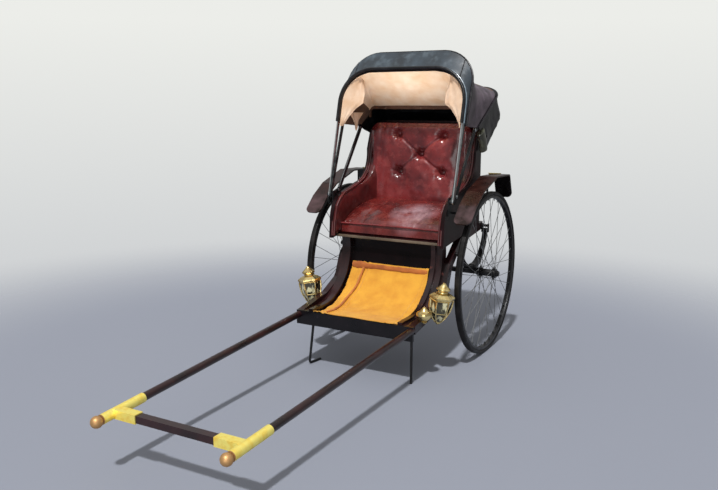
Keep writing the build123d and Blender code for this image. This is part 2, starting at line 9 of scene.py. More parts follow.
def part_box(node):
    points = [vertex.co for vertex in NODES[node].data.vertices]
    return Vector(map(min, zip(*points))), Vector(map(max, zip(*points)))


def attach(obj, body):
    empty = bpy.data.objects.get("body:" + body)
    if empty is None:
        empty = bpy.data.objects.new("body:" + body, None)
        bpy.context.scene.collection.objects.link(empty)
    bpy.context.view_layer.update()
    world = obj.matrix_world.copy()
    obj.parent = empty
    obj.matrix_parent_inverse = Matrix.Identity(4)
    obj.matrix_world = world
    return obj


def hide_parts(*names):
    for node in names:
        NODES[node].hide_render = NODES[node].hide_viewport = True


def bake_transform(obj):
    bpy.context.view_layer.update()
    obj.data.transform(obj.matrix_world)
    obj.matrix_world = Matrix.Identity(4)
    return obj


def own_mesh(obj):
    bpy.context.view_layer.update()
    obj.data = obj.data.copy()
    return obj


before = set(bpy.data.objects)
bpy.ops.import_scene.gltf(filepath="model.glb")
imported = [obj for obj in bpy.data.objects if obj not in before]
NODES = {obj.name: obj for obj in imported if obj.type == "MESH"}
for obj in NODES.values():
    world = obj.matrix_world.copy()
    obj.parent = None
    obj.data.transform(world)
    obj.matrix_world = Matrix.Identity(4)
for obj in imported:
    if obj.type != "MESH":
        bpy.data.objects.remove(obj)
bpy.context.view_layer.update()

# The rickshaw stands on +Z, its shafts towards -Y.
# Sizes are millimetres, and y is counted from the axle line.
MM = 0.001
AXLE_LOW, AXLE_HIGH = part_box("axle")
AXLE_Y = (AXLE_LOW.y + AXLE_HIGH.y) / 2
WHEEL_R = (AXLE_LOW.z + AXLE_HIGH.z) / 2 / MM
SIDES = (("left", -1), ("right", 1))

# Wheels: half the track, the depths of tyre and rim, and where the bare spokes start and end
WHEEL_X = 466
TYRE_T = 21
RIM_T = 18
SPOKES = 36
SPOKE_FROM = 42
SPOKE_TO = 424

# Seat body: the arm line is a side wall's top edge as (y, z), and the buttons are (x, z)
BODY_HALF = 360
WALL_T = 22
BACK_FACE = 45
BACK_TOP = 1341
ARM_LINE = [(-413, 690), (-405, 770), (-379, 860), (-340, 902), (-296, 926), (-200, 949), (-110, 971),
            (-48, 997), (3, 1038), (33, 1098), (44, 1170), (62, 1217), (80, 1265), (99, 1288), (128, 1296)]
BUTTONS = [(-142, 1270), (156, 1262), (8, 1148), (-132, 1037), (150, 1040)]
PLEATS = [(2, 0), (2, 1), (2, 3), (2, 4)]
SEAT_FRONT = (-343, 758)
SEAT_SLOPE = 0.284
PAD_REACH = 30

# Shapes pressed into the pads: a height and a spread, or where the folds lie; a wrinkle is (x, spread)
DIMPLE = (30, 24)
HOLLOW = (9, 80)
PLEAT_DEPTH = 12
PLEAT_W = 6.5
BACK_FOLDS = (-262, -215, 250)
BACK_FOLD = (4, 20)
TOP_ROLL = (26, 30)
SEAT_HOLLOW = (8, 170)
SEAT_WRINKLES = ((-120, 9), (215, 8))
WING_FOLDS = (-40, 5, 30)
WING_FOLD = (3, 12)

# Cloth simulation of the pads
VOXEL_M = 0.0055
CLOTH_PRESSURE = 4
CLOTH_FRAMES = 20

# Hood: an arch stands on (y, z) and leans back, with its foot, top and corner measured along its lean
PIVOT = (-360, 925)
HOOP_W = 24
LEG_TOP = 430
Arch = namedtuple("Arch", "y z lean shift half foot top corner")
FRONT_ARCH = Arch(*PIVOT, 14, 0, 392, LEG_TOP, 740, 195)
MIDDLE_ARCH = Arch(*PIVOT, 19.5, 0, 392, LEG_TOP, 858, 195)
WAIST_ARCH = Arch(-110, 1320, 40, 0, 375, 0, 375, 215)
REAR_ARCH = Arch(-20, 1300, 59.5, 0, 384, 20, 471, 120)
BULGE_ARCH = Arch(60, 1235, 67, 0, 386, 80, 405, 105)
HEM_ARCH = Arch(130, 1195, 88, 0, 374, 30, 115, 60)
SLAT_ARCH = Arch(*PIVOT, 42.8, 0, 366, 655, 687, 30)
LINING_ARCHES = [Arch(*PIVOT, 14, 0, 373, LEG_TOP - 25, 721, 176), Arch(*PIVOT, 20, 0, 371, 500, 697, 130),
                 Arch(*PIVOT, 31, 0, 369, 590, 681, 70), SLAT_ARCH]
SEAM_SHARES = (0.30, 0.70)

# Cloth inside the hood: a flap's inner edge as (x, reach), the roll's path, and cut sizes in metres
FLAP_EDGE = [(275, 690), (256, 600), (258, 548), (300, 516), (338, 466), (368, 412)]
FLAP_LEAN = 17.5
FLAP_FLAT = (0.16, 0.40)
ROLL_R = 19
ROLL = [(386, 40, 1288), (386, 58, 1262), (387, 78, 1230), (387, 90, 1200), (386, 96, 1174)]
SIDE_LINING_FLAT = (0.45, 0.55)
END_X = 368
END_FLAT = (0.12, 0.22)

# Struts behind the front legs, as (y, z) of the sleeve's two ends
STRUT_X = 371
STRUT_ENDS = ((-281, 951), (-27, 1291))

# Footwell: its curve runs flat, up through a hollow to the knee and on to the seat, in shares of its run,
# and the floor lies a little behind it
RAIL_LOW = 340
FLAT_TO = 0.27
CURVE_TO = 0.83
RISE_SHARE = 0.36
FLOOR_BACK = 28.7

# Mat: its front lip, the folds beside its left edge as (offset, height, width), and its rolled hem
MAT_HALF = 246
MAT_FRONT = -755
LIP_SHARE = 0.055
LIP_REACH = 22
LIP_RISE = 19
RUCKS = ((0, 15, 10), (20, -5, 7), (34, 6, 7), (-24, 6, 8), (402, 7, 9))
HEM_SHARE = 0.965
HEM_HALF = 240
MAT_STEPS = 40

# Lamps: (height, radius) of the glass body's edges and hoops, and of the bulb on the right member alone
LAMP_AT = (391, -549, 295)
LAMP_LEAN = 9
PANES = [(12, 16), (34, 34), (70, 52), (104, 60), (140, 62)]
LAMP_HOOPS = ((12, 17), (70, 50.5), (140, 60))
BULB_AT = (372, -680, 330)
BULB = [(0, 0), (0, 10), (8, 16), (12, 12), (20, 26), (34, 39), (48, 42), (58, 38), (64, 24), (70, 20),
        (78, 12), (86, 6), (88, 0)]

# Small pieces: bolts as (y, z, radius), the corners of a fender's gusset, and the strip under the seat
BOLTS = ((-285, 945, 9), (-20, 1300, 11))
BOLT_X = 377
GUSSET = ((418, 93, 1049), (463, 200, 1040), (418, 222, 988))
STRIP = ((-338, -369, 679), (338, -361.5, 694))

# Finishes: a fender's front flap and the painted shade of its rear flap, each from where it starts to where
# it is full, the centre and reach of the highlight painted on the seat, and where the tees end in their
# balls
FENDER_FLAP_Z = (925, 900)
FENDER_SHADE_Y = (190, 215)
HIGHLIGHT_AT = (95, -215, 800)
HIGHLIGHT_R = 165
BALL_Y = -2198

# Camera, at the photograph's viewing angle
CAMERA_AT = (1.9034, -4.1202, 1.4493)
CAMERA_RIGHT = (0.8735, 0.4868, 0.0)
CAMERA_UP = (-0.0902, 0.1619, 0.9827)
CAMERA_BACK = (0.4784, -0.8584, 0.1853)
CAMERA_LENS = 37.73
SENSOR = 36.0

# Floor: its radius in metres, and the distances over which it fades into the backdrop
FLOOR_R = 5.5
FADE_FROM = 1900
FADE_TO = 4600


# Shader helpers
def linear(hex_code):
    """sRGB hex to the linear colour that a shader socket takes."""
    parts = [int(hex_code[i:i + 2], 16) / 255 for i in (0, 2, 4)]
    return [c / 12.92 if c <= 0.04045 else ((c + 0.055) / 1.055) ** 2.4 for c in parts] + [1.0]


def add(tree, kind, inputs=None, **settings):
    """Adds one shader node; an input takes a value or another node's output."""
    made = tree.nodes.new("ShaderNode" + kind)
    for name, value in settings.items():
        setattr(made, name, value)
    for name, value in (inputs or {}).items():
        if isinstance(value, bpy.types.NodeSocket):
            tree.links.new(value, made.inputs[name])
        else:
            made.inputs[name].default_value = value
    return made


def start(name, **sockets):
    """A new material: its tree, its shader and its object coordinates in millimetres."""
    made = bpy.data.materials.new(name)
    made.use_nodes = True
    tree = made.node_tree
    shader = tree.nodes["Principled BSDF"]
    for socket, value in sockets.items():
        shader.inputs[socket.replace("_", " ")].default_value = value
    coords = add(tree, "TexCoord").outputs["Object"]
    scaled = add(tree, "VectorMath", {0: coords, 1: (1000, 1000, 1000)}, operation="MULTIPLY").outputs[0]
    return made, tree, shader, scaled


def speckle(tree, where, size_mm, low, high, detail=4.0, stretch=(1, 1, 1)):
    """A noise pattern of a given size, turned to a 0 to 1 mask between two levels."""
    turned = add(tree, "VectorMath", {0: where, 1: [s / size_mm for s in stretch]}, operation="MULTIPLY")
    cloud = add(tree, "TexNoise", {"Vector": turned.outputs[0], "Scale": 1.0, "Detail": detail})
    span = {"Value": cloud.outputs["Fac"], "From Min": low, "From Max": high}
    return add(tree, "MapRange", span).outputs["Result"]


def blended(tree, mask, first, second):
    """Two colours mixed by a mask; a colour is an sRGB hex or another node's output."""
    sides = [linear(c) if isinstance(c, str) else c for c in (first, second)]
    return add(tree, "Mix", {0: mask, 6: sides[0], 7: sides[1]}, data_type="RGBA").outputs[2]


def raised(tree, shader, height, depth_mm, strength=1.0):
    """Bump of a real depth from a height pattern, laid over any bump already there."""
    values = {"Height": height, "Distance": depth_mm * MM, "Strength": strength}
    if shader.inputs["Normal"].is_linked:
        values["Normal"] = shader.inputs["Normal"].links[0].from_socket
    bump = add(tree, "Bump", values)
    tree.links.new(bump.outputs["Normal"], shader.inputs["Normal"])


def varied(tree, mask, low, high):
    """A mask stretched to run from one level to another."""
    return add(tree, "MapRange", {"Value": mask, "To Min": low, "To Max": high}).outputs["Result"]


# Materials
def lacquered_wood(name, tone, dark, worn_and_highlit, gloss):
    """Lacquered hardwood, brushed: dark gloss with fine grain along the piece and rubbed patches."""
    made, tree, shader, where = start(name, Coat_Weight=gloss, Coat_Roughness=0.14,
                                      Specular_IOR_Level=gloss)
    grain = speckle(tree, where, 9, 0.35, 0.7, 5, (1, 0.12, 1))
    cloud = speckle(tree, where, 160, 0.35, 0.65)
    wear_and_highlight = speckle(tree, where, 34, 0.66, 0.76, 6)
    colour = blended(tree, cloud, dark, tone)
    colour = blended(tree, varied(tree, grain, 0, 0.45), colour, dark)
    colour = blended(tree, varied(tree, wear_and_highlight, 0, 0.6), colour, worn_and_highlit)
    tree.links.new(colour, shader.inputs["Base Color"])
    tree.links.new(varied(tree, cloud, 0.26, 0.4), shader.inputs["Roughness"])
    raised(tree, shader, grain, 0.25, 0.35)
    return made


def fender_finish():
    """Lacquered board: dark brown above, dusty brown on the low front flap, and painted shade near black on
    the rear flap, whose inner face lies in shade.
    """
    made, tree, shader, where = start("fender_lacquer", Coat_Weight=0.14, Coat_Roughness=0.2,
                                      Specular_IOR_Level=0.25)
    axes = add(tree, "SeparateXYZ", {0: where}).outputs
    down = {"Value": axes["Z"], "From Min": FENDER_FLAP_Z[0], "From Max": FENDER_FLAP_Z[1]}
    low = add(tree, "MapRange", down).outputs["Result"]
    # painted shade: towards the rear the board turns near black
    shaded_rear = {"Value": axes["Y"], "From Min": AXLE_Y / MM + FENDER_SHADE_Y[0],
              "From Max": AXLE_Y / MM + FENDER_SHADE_Y[1]}
    cloud = speckle(tree, where, 60, 0.35, 0.7, 6)
    top = blended(tree, cloud, "1B0907", "301610")
    flap = blended(tree, cloud, "20130F", "4C383A")
    colour = blended(tree, low, top, flap)
    colour = blended(tree, add(tree, "MapRange", shaded_rear).outputs["Result"], colour, "0B0607")
    tree.links.new(colour, shader.inputs["Base Color"])
    tree.links.new(varied(tree, cloud, 0.25, 0.4), shader.inputs["Roughness"])
    raised(tree, shader, cloud, 0.5, 0.3)
    return made


def painted_iron():
    """Black oil paint on forged iron: low gloss, slightly lumpy, with grey rubbed spots."""
    made, tree, shader, where = start("black_painted_iron", Specular_IOR_Level=0.35)
    lumps = speckle(tree, where, 14, 0.3, 0.7)
    chips = speckle(tree, where, 22, 0.68, 0.74, 8)
    tree.links.new(blended(tree, chips, "0E0E10", "4A4643"), shader.inputs["Base Color"])
    tree.links.new(varied(tree, lumps, 0.32, 0.5), shader.inputs["Roughness"])
    raised(tree, shader, lumps, 0.4, 0.4)
    return made


def bright_iron():
    """Bare forged iron, rubbed bright: grey-white shine broken by dark pits and scratches."""
    made, tree, shader, where = start("bright_iron", Metallic=1.0)
    pits = speckle(tree, where, 28, 0.52, 0.75, 5)
    scratches = speckle(tree, where, 5, 0.4, 0.7, 3, (1, 1, 0.08))
    colour = blended(tree, pits, "D4D8D8", "84888A")
    colour = blended(tree, varied(tree, scratches, 0, 0.4), colour, "8C8F90")
    tree.links.new(colour, shader.inputs["Base Color"])
    tree.links.new(varied(tree, pits, 0.3, 0.55), shader.inputs["Roughness"])
    raised(tree, shader, scratches, 0.15, 0.4)
    return made


def dull_iron():
    """The same bare iron, left dull: mid grey with dark oxide patches."""
    made, tree, shader, where = start("dull_iron", Metallic=0.85)
    oxide = speckle(tree, where, 24, 0.42, 0.62, 8)
    tree.links.new(blended(tree, oxide, "5F6666", "2B2E2F"), shader.inputs["Base Color"])
    tree.links.new(varied(tree, oxide, 0.35, 0.6), shader.inputs["Roughness"])
    return made


def brass(name, tone, shade, rough, metal=1.0, nose=None):
    """Cast brass, hand polished: warm yellow with cloudy tarnish, and a coppery ball past its nose."""
    made, tree, shader, where = start(name, Metallic=metal)
    tarnish = speckle(tree, where, 30, 0.42, 0.72, 6)
    colour = blended(tree, tarnish, tone, shade)
    if nose:
        along = add(tree, "SeparateXYZ", {0: where}).outputs["Y"]
        ball = add(tree, "Math", {0: along, 1: nose}, operation="LESS_THAN").outputs[0]
        colour = blended(tree, ball, colour, "B98F5E")
    tree.links.new(colour, shader.inputs["Base Color"])
    tree.links.new(varied(tree, tarnish, rough, rough + 0.18), shader.inputs["Roughness"])
    raised(tree, shader, speckle(tree, where, 12, 0.3, 0.7), 0.3, 0.25)
    return made


def wheel_finish():
    """Black oil paint on rim and hub, and grey rubbed steel wire between them."""
    made, tree, shader, where = start("painted_wheel")
    off = add(tree, "VectorMath", {0: where, 1: (0, AXLE_Y / MM, WHEEL_R)}, operation="SUBTRACT").outputs[0]
    flat = add(tree, "VectorMath", {0: off, 1: (0, 1, 1)}, operation="MULTIPLY").outputs[0]
    out = add(tree, "VectorMath", {0: flat}, operation="LENGTH").outputs["Value"]
    past_hub = add(tree, "Math", {0: out, 1: SPOKE_FROM}, operation="GREATER_THAN").outputs[0]
    in_rim = add(tree, "Math", {0: out, 1: SPOKE_TO}, operation="LESS_THAN").outputs[0]
    wire = add(tree, "Math", {0: past_hub, 1: in_rim}, operation="MULTIPLY").outputs[0]
    rust = speckle(tree, where, 40, 0.45, 0.7, 5)
    steel = blended(tree, rust, "8E9090", "5B5753")
    tree.links.new(blended(tree, wire, "0E0E10", steel), shader.inputs["Base Color"])
    tree.links.new(varied(tree, wire, 0.0, 0.7), shader.inputs["Metallic"])
    tree.links.new(varied(tree, rust, 0.3, 0.5), shader.inputs["Roughness"])
    return made


def tyre_rubber():
    """Solid rubber tyre: black, matt, greyed by dust on its crown."""
    made, tree, shader, where = start("tyre_rubber", Specular_IOR_Level=0.22)
    dust = speckle(tree, where, 60, 0.45, 0.7, 6)
    colour = blended(tree, varied(tree, dust, 0, 0.5), "0C0B0B", "2C2827")
    tree.links.new(colour, shader.inputs["Base Color"])
    tree.links.new(varied(tree, dust, 0.38, 0.62), shader.inputs["Roughness"])
    raised(tree, shader, speckle(tree, where, 3, 0.3, 0.7), 0.3, 0.3)
    return made


def leather(name, tone, shade, bright, rough, coat, crease_mm, level=0.5, wear_and_highlight=None):
    """Dressed hide, glazed: uneven colour, soft creases, grain drawn at 4 mm to show, and where a centre is
    given a painted highlight, a pale patch for a reflection.
    """
    made, tree, shader, where = start(name, Specular_IOR_Level=level, Coat_Weight=coat, Coat_Roughness=0.16)
    cloud = speckle(tree, where, 120, 0.35, 0.65, 5)
    patch = speckle(tree, where, 45, 0.5, 0.75, 6)
    colour = blended(tree, cloud, shade, tone)
    colour = blended(tree, varied(tree, patch, 0, 0.45), colour, bright)
    # painted highlight: a pale patch about the given centre, broken up by noise
    if wear_and_highlight:
        off = add(tree, "VectorMath", {0: where, 1: wear_and_highlight}, operation="SUBTRACT").outputs[0]
        away = add(tree, "VectorMath", {0: off}, operation="LENGTH").outputs["Value"]
        near = add(tree, "MapRange", {"Value": away, "From Min": HIGHLIGHT_R, "From Max": 10}).outputs["Result"]
        highlight_breakup = speckle(tree, where, 70, 0.25, 0.6)
        worn_and_highlit = add(tree, "Math", {0: near, 1: highlight_breakup}, operation="MULTIPLY").outputs[0]
        colour = blended(tree, worn_and_highlit, colour, "B3959C")
    tree.links.new(colour, shader.inputs["Base Color"])
    tree.links.new(varied(tree, patch, rough, rough + 0.14), shader.inputs["Roughness"])
    shrunk = add(tree, "VectorMath", {0: where, 1: (0.25, 0.25, 0.25)}, operation="MULTIPLY").outputs[0]
    grain = add(tree, "TexVoronoi", {"Vector": shrunk, "Scale": 1.0}, feature="DISTANCE_TO_EDGE")
    raised(tree, shader, grain.outputs["Distance"], 0.3, 0.3)
    raised(tree, shader, speckle(tree, where, crease_mm, 0.3, 0.7, 5), 2.0, 0.5)
    return made


def woven(name, tone, shade, thread_mm, sheen):
    """Plain-woven cotton: matt, unevenly dyed, its threads drawn coarse enough to show."""
    made, tree, shader, where = start(name, Roughness=0.85, Sheen_Weight=sheen)
    dye = speckle(tree, where, 70, 0.35, 0.7, 5)
    scale = 1 / thread_mm / 2
    across = add(tree, "TexWave", {"Vector": where, "Scale": scale}, bands_direction="X")
    along = add(tree, "TexWave", {"Vector": where, "Scale": scale}, bands_direction="Z")
    weave = add(tree, "Math", {0: across.outputs["Fac"], 1: along.outputs["Fac"]}, operation="MULTIPLY")
    colour = blended(tree, dye, tone, shade)
    colour = blended(tree, varied(tree, weave.outputs[0], 0.25, 0), colour, shade)
    tree.links.new(colour, shader.inputs["Base Color"])
    raised(tree, shader, weave.outputs[0], 0.5, 0.6)
    raised(tree, shader, speckle(tree, where, 38, 0.3, 0.7), 3.0, 0.5)
    return made


def lamp_glass():
    """Thick lamp glass over a dark inside: near black olive, with painted highlights, pale glints that
    stand for reflections of the reflector.
    """
    made, tree, shader, where = start("lamp_glass", Roughness=0.06, IOR=1.52, Coat_Weight=0.5)
    painted_glint = speckle(tree, where, 26, 0.5, 0.6, 3, (1, 1, 0.5))
    haze = speckle(tree, where, 45, 0.4, 0.7)
    colour = blended(tree, haze, "15150F", "4C4A34")
    # painted highlight: pale glints mixed into the glass's colour
    tree.links.new(blended(tree, painted_glint, colour, "CFCBA4"), shader.inputs["Base Color"])
    return made


WOOD = lacquered_wood("lacquered_wood", "2E1113", "120607", "6B3A33", 0.35)
PANEL = lacquered_wood("lacquered_panel", "261114", "110607", "48343A", 0.12)
SLAT_WOOD = lacquered_wood("slat_wood", "80604F", "4C352B", "A28473", 0.12)
PALE_TRIM = lacquered_wood("pale_trim", "786A5A", "54483C", "998A79", 0.2)
DARK_BOARD = lacquered_wood("dark_board", "120709", "080405", "241416", 0.1)
APRON = lacquered_wood("apron_lacquer", "130E12", "08070A", "2E2730", 0.22)
IRON = painted_iron()
BRIGHT = bright_iron()
DULL = dull_iron()
TEE_BRASS = brass("yellow_brass", "FFEE80", "F0CC52", 0.42, 0.65, AXLE_Y / MM + BALL_Y)
LAMP_BRASS = brass("lamp_brass", "F8E2A0", "94702E", 0.2)
RUBBER = tyre_rubber()
FENDER = fender_finish()
WHEEL_PAINT = wheel_finish()
SEAT_LEATHER = leather("maroon_leather", "7C2A2B", "4E181C", "94433F", 0.24, 0.5, 55)
# a darker copy of the maroon leather for the wings and the arm welts: painted shade
WING_LEATHER_SHADED = leather("dull_maroon_leather_painted_shade", "58191A", "2E0A0C", "74302B", 0.3, 0.35, 55)
# the seat's copy of the maroon leather: darker than the back's for painted shade, and with the painted
# highlight
SQUAB_LEATHER = leather("highlit_maroon_leather", "661E1B", "3A0F0F", "823832", 0.24, 0.5, 55,
                        wear_and_highlight=(HIGHLIGHT_AT[0], AXLE_Y / MM + HIGHLIGHT_AT[1], HIGHLIGHT_AT[2]))
HOOD_LEATHER = leather("hood_leathercloth", "36424C", "20272D", "5B6972", 0.34, 0.25, 70)
DARK_LEATHER = leather("black_leathercloth", "121216", "0A0A0C", "2A2A30", 0.36, 0.15, 60, 0.35)
CURTAIN_LEATHER = leather("curtain_leathercloth", "5A4E57", "3A3239", "796B79", 0.46, 0.12, 60, 0.35)
# pale leather for the front piping: its paleness is a painted highlight along the band's lower edge
PIPING_PAINTED_HIGHLIGHT = leather("pale_piping_painted_highlight", "8496A2", "5A6974", "A3B4BE", 0.36, 0.25, 40)
LINING = woven("cream_lining", "FFE6CB", "F2CBA2", 2.5, 0.1)
# a darker copy of the cream lining for the flaps and the curtain end: painted shade
FLAP_CLOTH_SHADED = woven("cream_flap_painted_shade", "E8CDB4", "CFA987", 2.5, 0.1)
# the cream lining's sides in shade, drawn as dark brown cloth: painted shade
LINING_SHADE = woven("lining_painted_shade", "6B4A34", "3F2A1E", 2.5, 0.1)
MAT_CLOTH = woven("amber_mat", "D39A2B", "BF801B", 4, 0.2)
# darker orange cloth for the rolled hem, and for the strip of painted shade along the mat's main fold
MAT_HEM_AND_FOLD_SHADE = woven("orange_hem_and_fold_shade", "C0702A", "96501C", 4, 0.2)
GUSSET_CLOTH = woven("khaki_cloth", "C2AE66", "94803F", 3, 0.1)
ROLL_CLOTH = leather("khaki_leathercloth", "3A3A2C", "171A14", "8C8C72", 0.3, 0.3, 22)
GLASS = lamp_glass()


# Mesh helpers
def place(x, y, z):
    """A point in millimetres, its y counted from the axle line, as the frame's metres."""
    return Vector((x * MM, y * MM + AXLE_Y, z * MM))


def piece(name, bm, material, body, crease=35, thick=0):
    """One finished piece from a bmesh in millimetres, riding a body when one is given."""
    bmesh.ops.remove_doubles(bm, verts=bm.verts[:], dist=0.01)
    bmesh.ops.recalc_face_normals(bm, faces=bm.faces[:])
    if thick:
        bmesh.ops.solidify(bm, geom=bm.faces[:], thickness=thick)
    for vertex in bm.verts:
        vertex.co = place(*vertex.co)
    mesh = bpy.data.meshes.new(name)
    bm.to_mesh(mesh)
    bm.free()
    mesh.shade_smooth()
    mesh.set_sharp_from_angle(angle=math.radians(crease))
    mesh.materials.append(material)
    made = bpy.data.objects.new(name, mesh)
    bpy.context.scene.collection.objects.link(made)
    if body:
        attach(made, body)
    return made


def rings(path):
    """A turning frame at each point of a path, z along the path."""
    points = [Vector(p) for p in path]
    made = []
    side = Vector((1, 0, 0))
    for i, point in enumerate(points):
        ahead = (points[min(i + 1, len(points) - 1)] - points[max(i - 1, 0)]).normalized()
        if abs(ahead.dot(side)) > 0.95:
            side = Vector((0, 1, 0)) if abs(ahead.y) < 0.9 else Vector((0, 0, 1))
        side = (side - ahead * side.dot(ahead)).normalized()
        turn = Matrix((side, ahead.cross(side), ahead)).transposed().to_4x4()
        made.append(Matrix.Translation(point) @ turn)
    return made


def pipe(bm, path, radius, sides=8, flat=1.0):
    """A closed round pipe, or a flat one, made by extruding one end face from point to point."""
    frames = rings(path)
    shape = frames[0] @ Matrix.Diagonal((1, flat, 1, 1))
    made = bmesh.ops.create_circle(bm, cap_ends=True, segments=sides, radius=radius, matrix=shape)
    face = made["verts"][0].link_faces[0]
    for before, after in zip(frames, frames[1:]):
        grown = bmesh.ops.extrude_face_region(bm, geom=[face])
        face = [g for g in grown["geom"] if isinstance(g, bmesh.types.BMFace)][0]
        bmesh.ops.transform(bm, matrix=after @ before.inverted(), verts=face.verts[:])


def lathe(bm, outline, matrix, steps):
    """A turned form about its own z from (height, radius) points."""
    verts = [bm.verts.new((radius, 0, height)) for height, radius in outline]
    edges = [bm.edges.new(pair) for pair in zip(verts, verts[1:])]
    made = bmesh.ops.spin(bm, geom=verts + edges, axis=(0, 0, 1), cent=(0, 0, 0), dvec=(0, 0, 0),
                          angle=2 * math.pi, steps=steps, use_merge=True)
    grown = set(verts) | {g for g in made["geom_last"] if isinstance(g, bmesh.types.BMVert)}
    todo = list(grown)
    while todo:
        for edge in todo.pop().link_edges:
            for vertex in edge.verts:
                if vertex not in grown:
                    grown.add(vertex)
                    todo.append(vertex)
    bmesh.ops.transform(bm, matrix=matrix, verts=list(grown))
    bmesh.ops.remove_doubles(bm, verts=list(grown), dist=0.01)


def block(bm, low, high, bevel):
    """A box between two corners with rounded edges."""
    low, high = Vector(low), Vector(high)
    size = Matrix.Diagonal((high - low).to_4d())
    made = bmesh.ops.create_cube(bm, size=1.0, matrix=Matrix.Translation((low + high) / 2) @ size)
    edges = list({edge for vertex in made["verts"] for edge in vertex.link_edges})
    bmesh.ops.bevel(bm, geom=edges, offset=bevel, affect="EDGES", segments=2, profile=0.5, material=-1)


def mapped(columns, rows, where):
    """A sheet of columns by rows faces; where() puts each point from its two shares, 0 to 1."""
    bm = bmesh.new()
    bmesh.ops.create_grid(bm, x_segments=columns, y_segments=rows, size=0.5)
    for vertex in bm.verts:
        vertex.co = where(vertex.co.x + 0.5, vertex.co.y + 0.5)
    return bm


def wave(point, size, seed=0.0):
    """Smooth repeatable unevenness from -1 to 1 about a point, with features of a given size."""
    return noise.noise(Vector(point) / size + Vector((seed, seed * 2, -seed)))


def hump(distance, height, spread):
    """A smooth hump: its full height at no distance, and next to nothing at twice its spread."""
    return height * math.exp(-(distance / spread) ** 2)


# Hood
def arch_point(arch, share):
    """A point of an arch, from its left foot at 0 over the top to its right foot at 1."""
    side = -1 if share < 0.5 else 1
    along = min(share, 1 - share)
    turn_at = arch.top - arch.corner
    if along < 0.2:
        x, reach = arch.half, arch.foot + (turn_at - arch.foot) * along / 0.2
    elif along < 0.4:
        angle = math.radians(90) * (along - 0.2) / 0.2
        x = arch.half - arch.corner * (1 - math.cos(angle))
        reach = turn_at + arch.corner * math.sin(angle)
    else:
        x, reach = (arch.half - arch.corner) * (0.5 - along) / 0.1, arch.top
    lean = math.radians(arch.lean)
    y = arch.y + reach * math.sin(lean) + arch.shift * math.cos(lean)
    z = arch.z + reach * math.cos(lean) - arch.shift * math.sin(lean)
    return Vector((side * x, y, z))


def shifted(arch, shift, grow):
    """The same arch, moved across its own plane and grown outwards."""
    return arch._replace(shift=shift, half=arch.half + grow, top=arch.top + grow, corner=arch.corner + grow)


def between(arches, share, along):
    """A point of the skin through several arches, along 0 to 1 from the first to the last."""
    at = along * (len(arches) - 1)
    first = min(int(at), len(arches) - 2)
    return arch_point(arches[first], share).lerp(arch_point(arches[first + 1], share), at - first)


def stretched(name, arches, columns, rows, sag, rough, material, body):
    """A hood skin through several arches: hollow between them, uneven, and thin."""
    middle_z = arches[0].z + 200

    def where(share, along):
        point = between(arches, share, along)
        inward = Vector((0, point.y, middle_z)) - point
        inward = inward.normalized() if inward.length else Vector((0, 0, -1))
        hold = math.sin(math.pi * along)
        depth = sag * hold + rough * hold * (wave(point, 90, 3) + 0.5 * wave(point, 35, 8))
        return point + inward * depth

    return piece(name, mapped(columns, rows, where), material, body, 60, 2.5)


def cloth_size(arches):
    """Cut size of a skin: the longest arch by the longest run across, in metres."""
    def run(points):
        return sum((b - a).length for a, b in zip(points, points[1:])) * MM
    shares = [i / 60 for i in range(61)]
    width = max(run([arch_point(arch, s) for s in shares]) for arch in arches)
    length = max(run([between(arches, s, t / 20) for t in range(21)]) for s in (0.0, 0.25, 0.5))
    return width, length


def area_of(made):
    """Flat area of a thin closed sheet: half of its whole surface."""
    return sum(face.area for face in made.data.polygons) / 2


def declare_sheet(made, flat):
    """Works out the area left of a cloth, its surface capped by its cut size in metres; nothing is done
    with it.
    """
    area = min(area_of(made), flat[0] * flat[1])


def arch_path(arch, steps=48):
    """Points along the whole of an arch."""
    return [arch_point(arch, i / steps) for i in range(steps + 1)]


def make_hood():
    """The hood's three skins, the roll at its front edge and the piping over its hoops."""
    half = HOOP_W / 2
    roof = [shifted(FRONT_ARCH, -half, 1), shifted(FRONT_ARCH, half, 1), shifted(MIDDLE_ARCH, -half, 1)]
    front = stretched("hood_roof_front", roof, 80, 20, 3, 2.5, HOOD_LEATHER, "hood_front")
    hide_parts("hood_cloth_front")
    declare_sheet(front, cloth_size(roof))

    roof = [shifted(MIDDLE_ARCH, 0, 1), shifted(WAIST_ARCH, 0, 0), shifted(REAR_ARCH, 0, 1)]
    middle = stretched("hood_roof_middle", roof, 96, 36, 5, 5, CURTAIN_LEATHER, None)
    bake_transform(middle)
    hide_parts("hood_cloth_middle")
    declare_sheet(middle, cloth_size(roof))

    roof = [shifted(REAR_ARCH, 0, 1), shifted(BULGE_ARCH, 0, 0), shifted(HEM_ARCH, 0, 0)]
    rear = stretched("hood_roof_rear", roof, 80, 36, -6, 8, DARK_LEATHER, None)
    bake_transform(rear)
    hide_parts("hood_cloth_rear")
    declare_sheet(rear, cloth_size(roof))

    # the front piping's pale leather is a painted highlight
    # Name, arch, radius, sides, material and body
    edgings = [("hood_front_roll", shifted(FRONT_ARCH, -half - 3, -3), 9, 12, DARK_LEATHER, "hood_front"),
               ("hood_front_piping", shifted(FRONT_ARCH, 0, 5), 3.4, 8, PIPING_PAINTED_HIGHLIGHT, "hood_front"),
               ("hood_middle_piping", shifted(MIDDLE_ARCH, 0, 6), 4.5, 8, DARK_LEATHER, "hood_front"),
               ("hood_rear_piping", shifted(REAR_ARCH, 0, 6), 5, 8, DARK_LEATHER, "hood_rear")]
    for name, arch, radius, sides, material, body in edgings:
        bm = bmesh.new()
        pipe(bm, arch_path(arch), radius, sides)
        piece(name, bm, material, body)


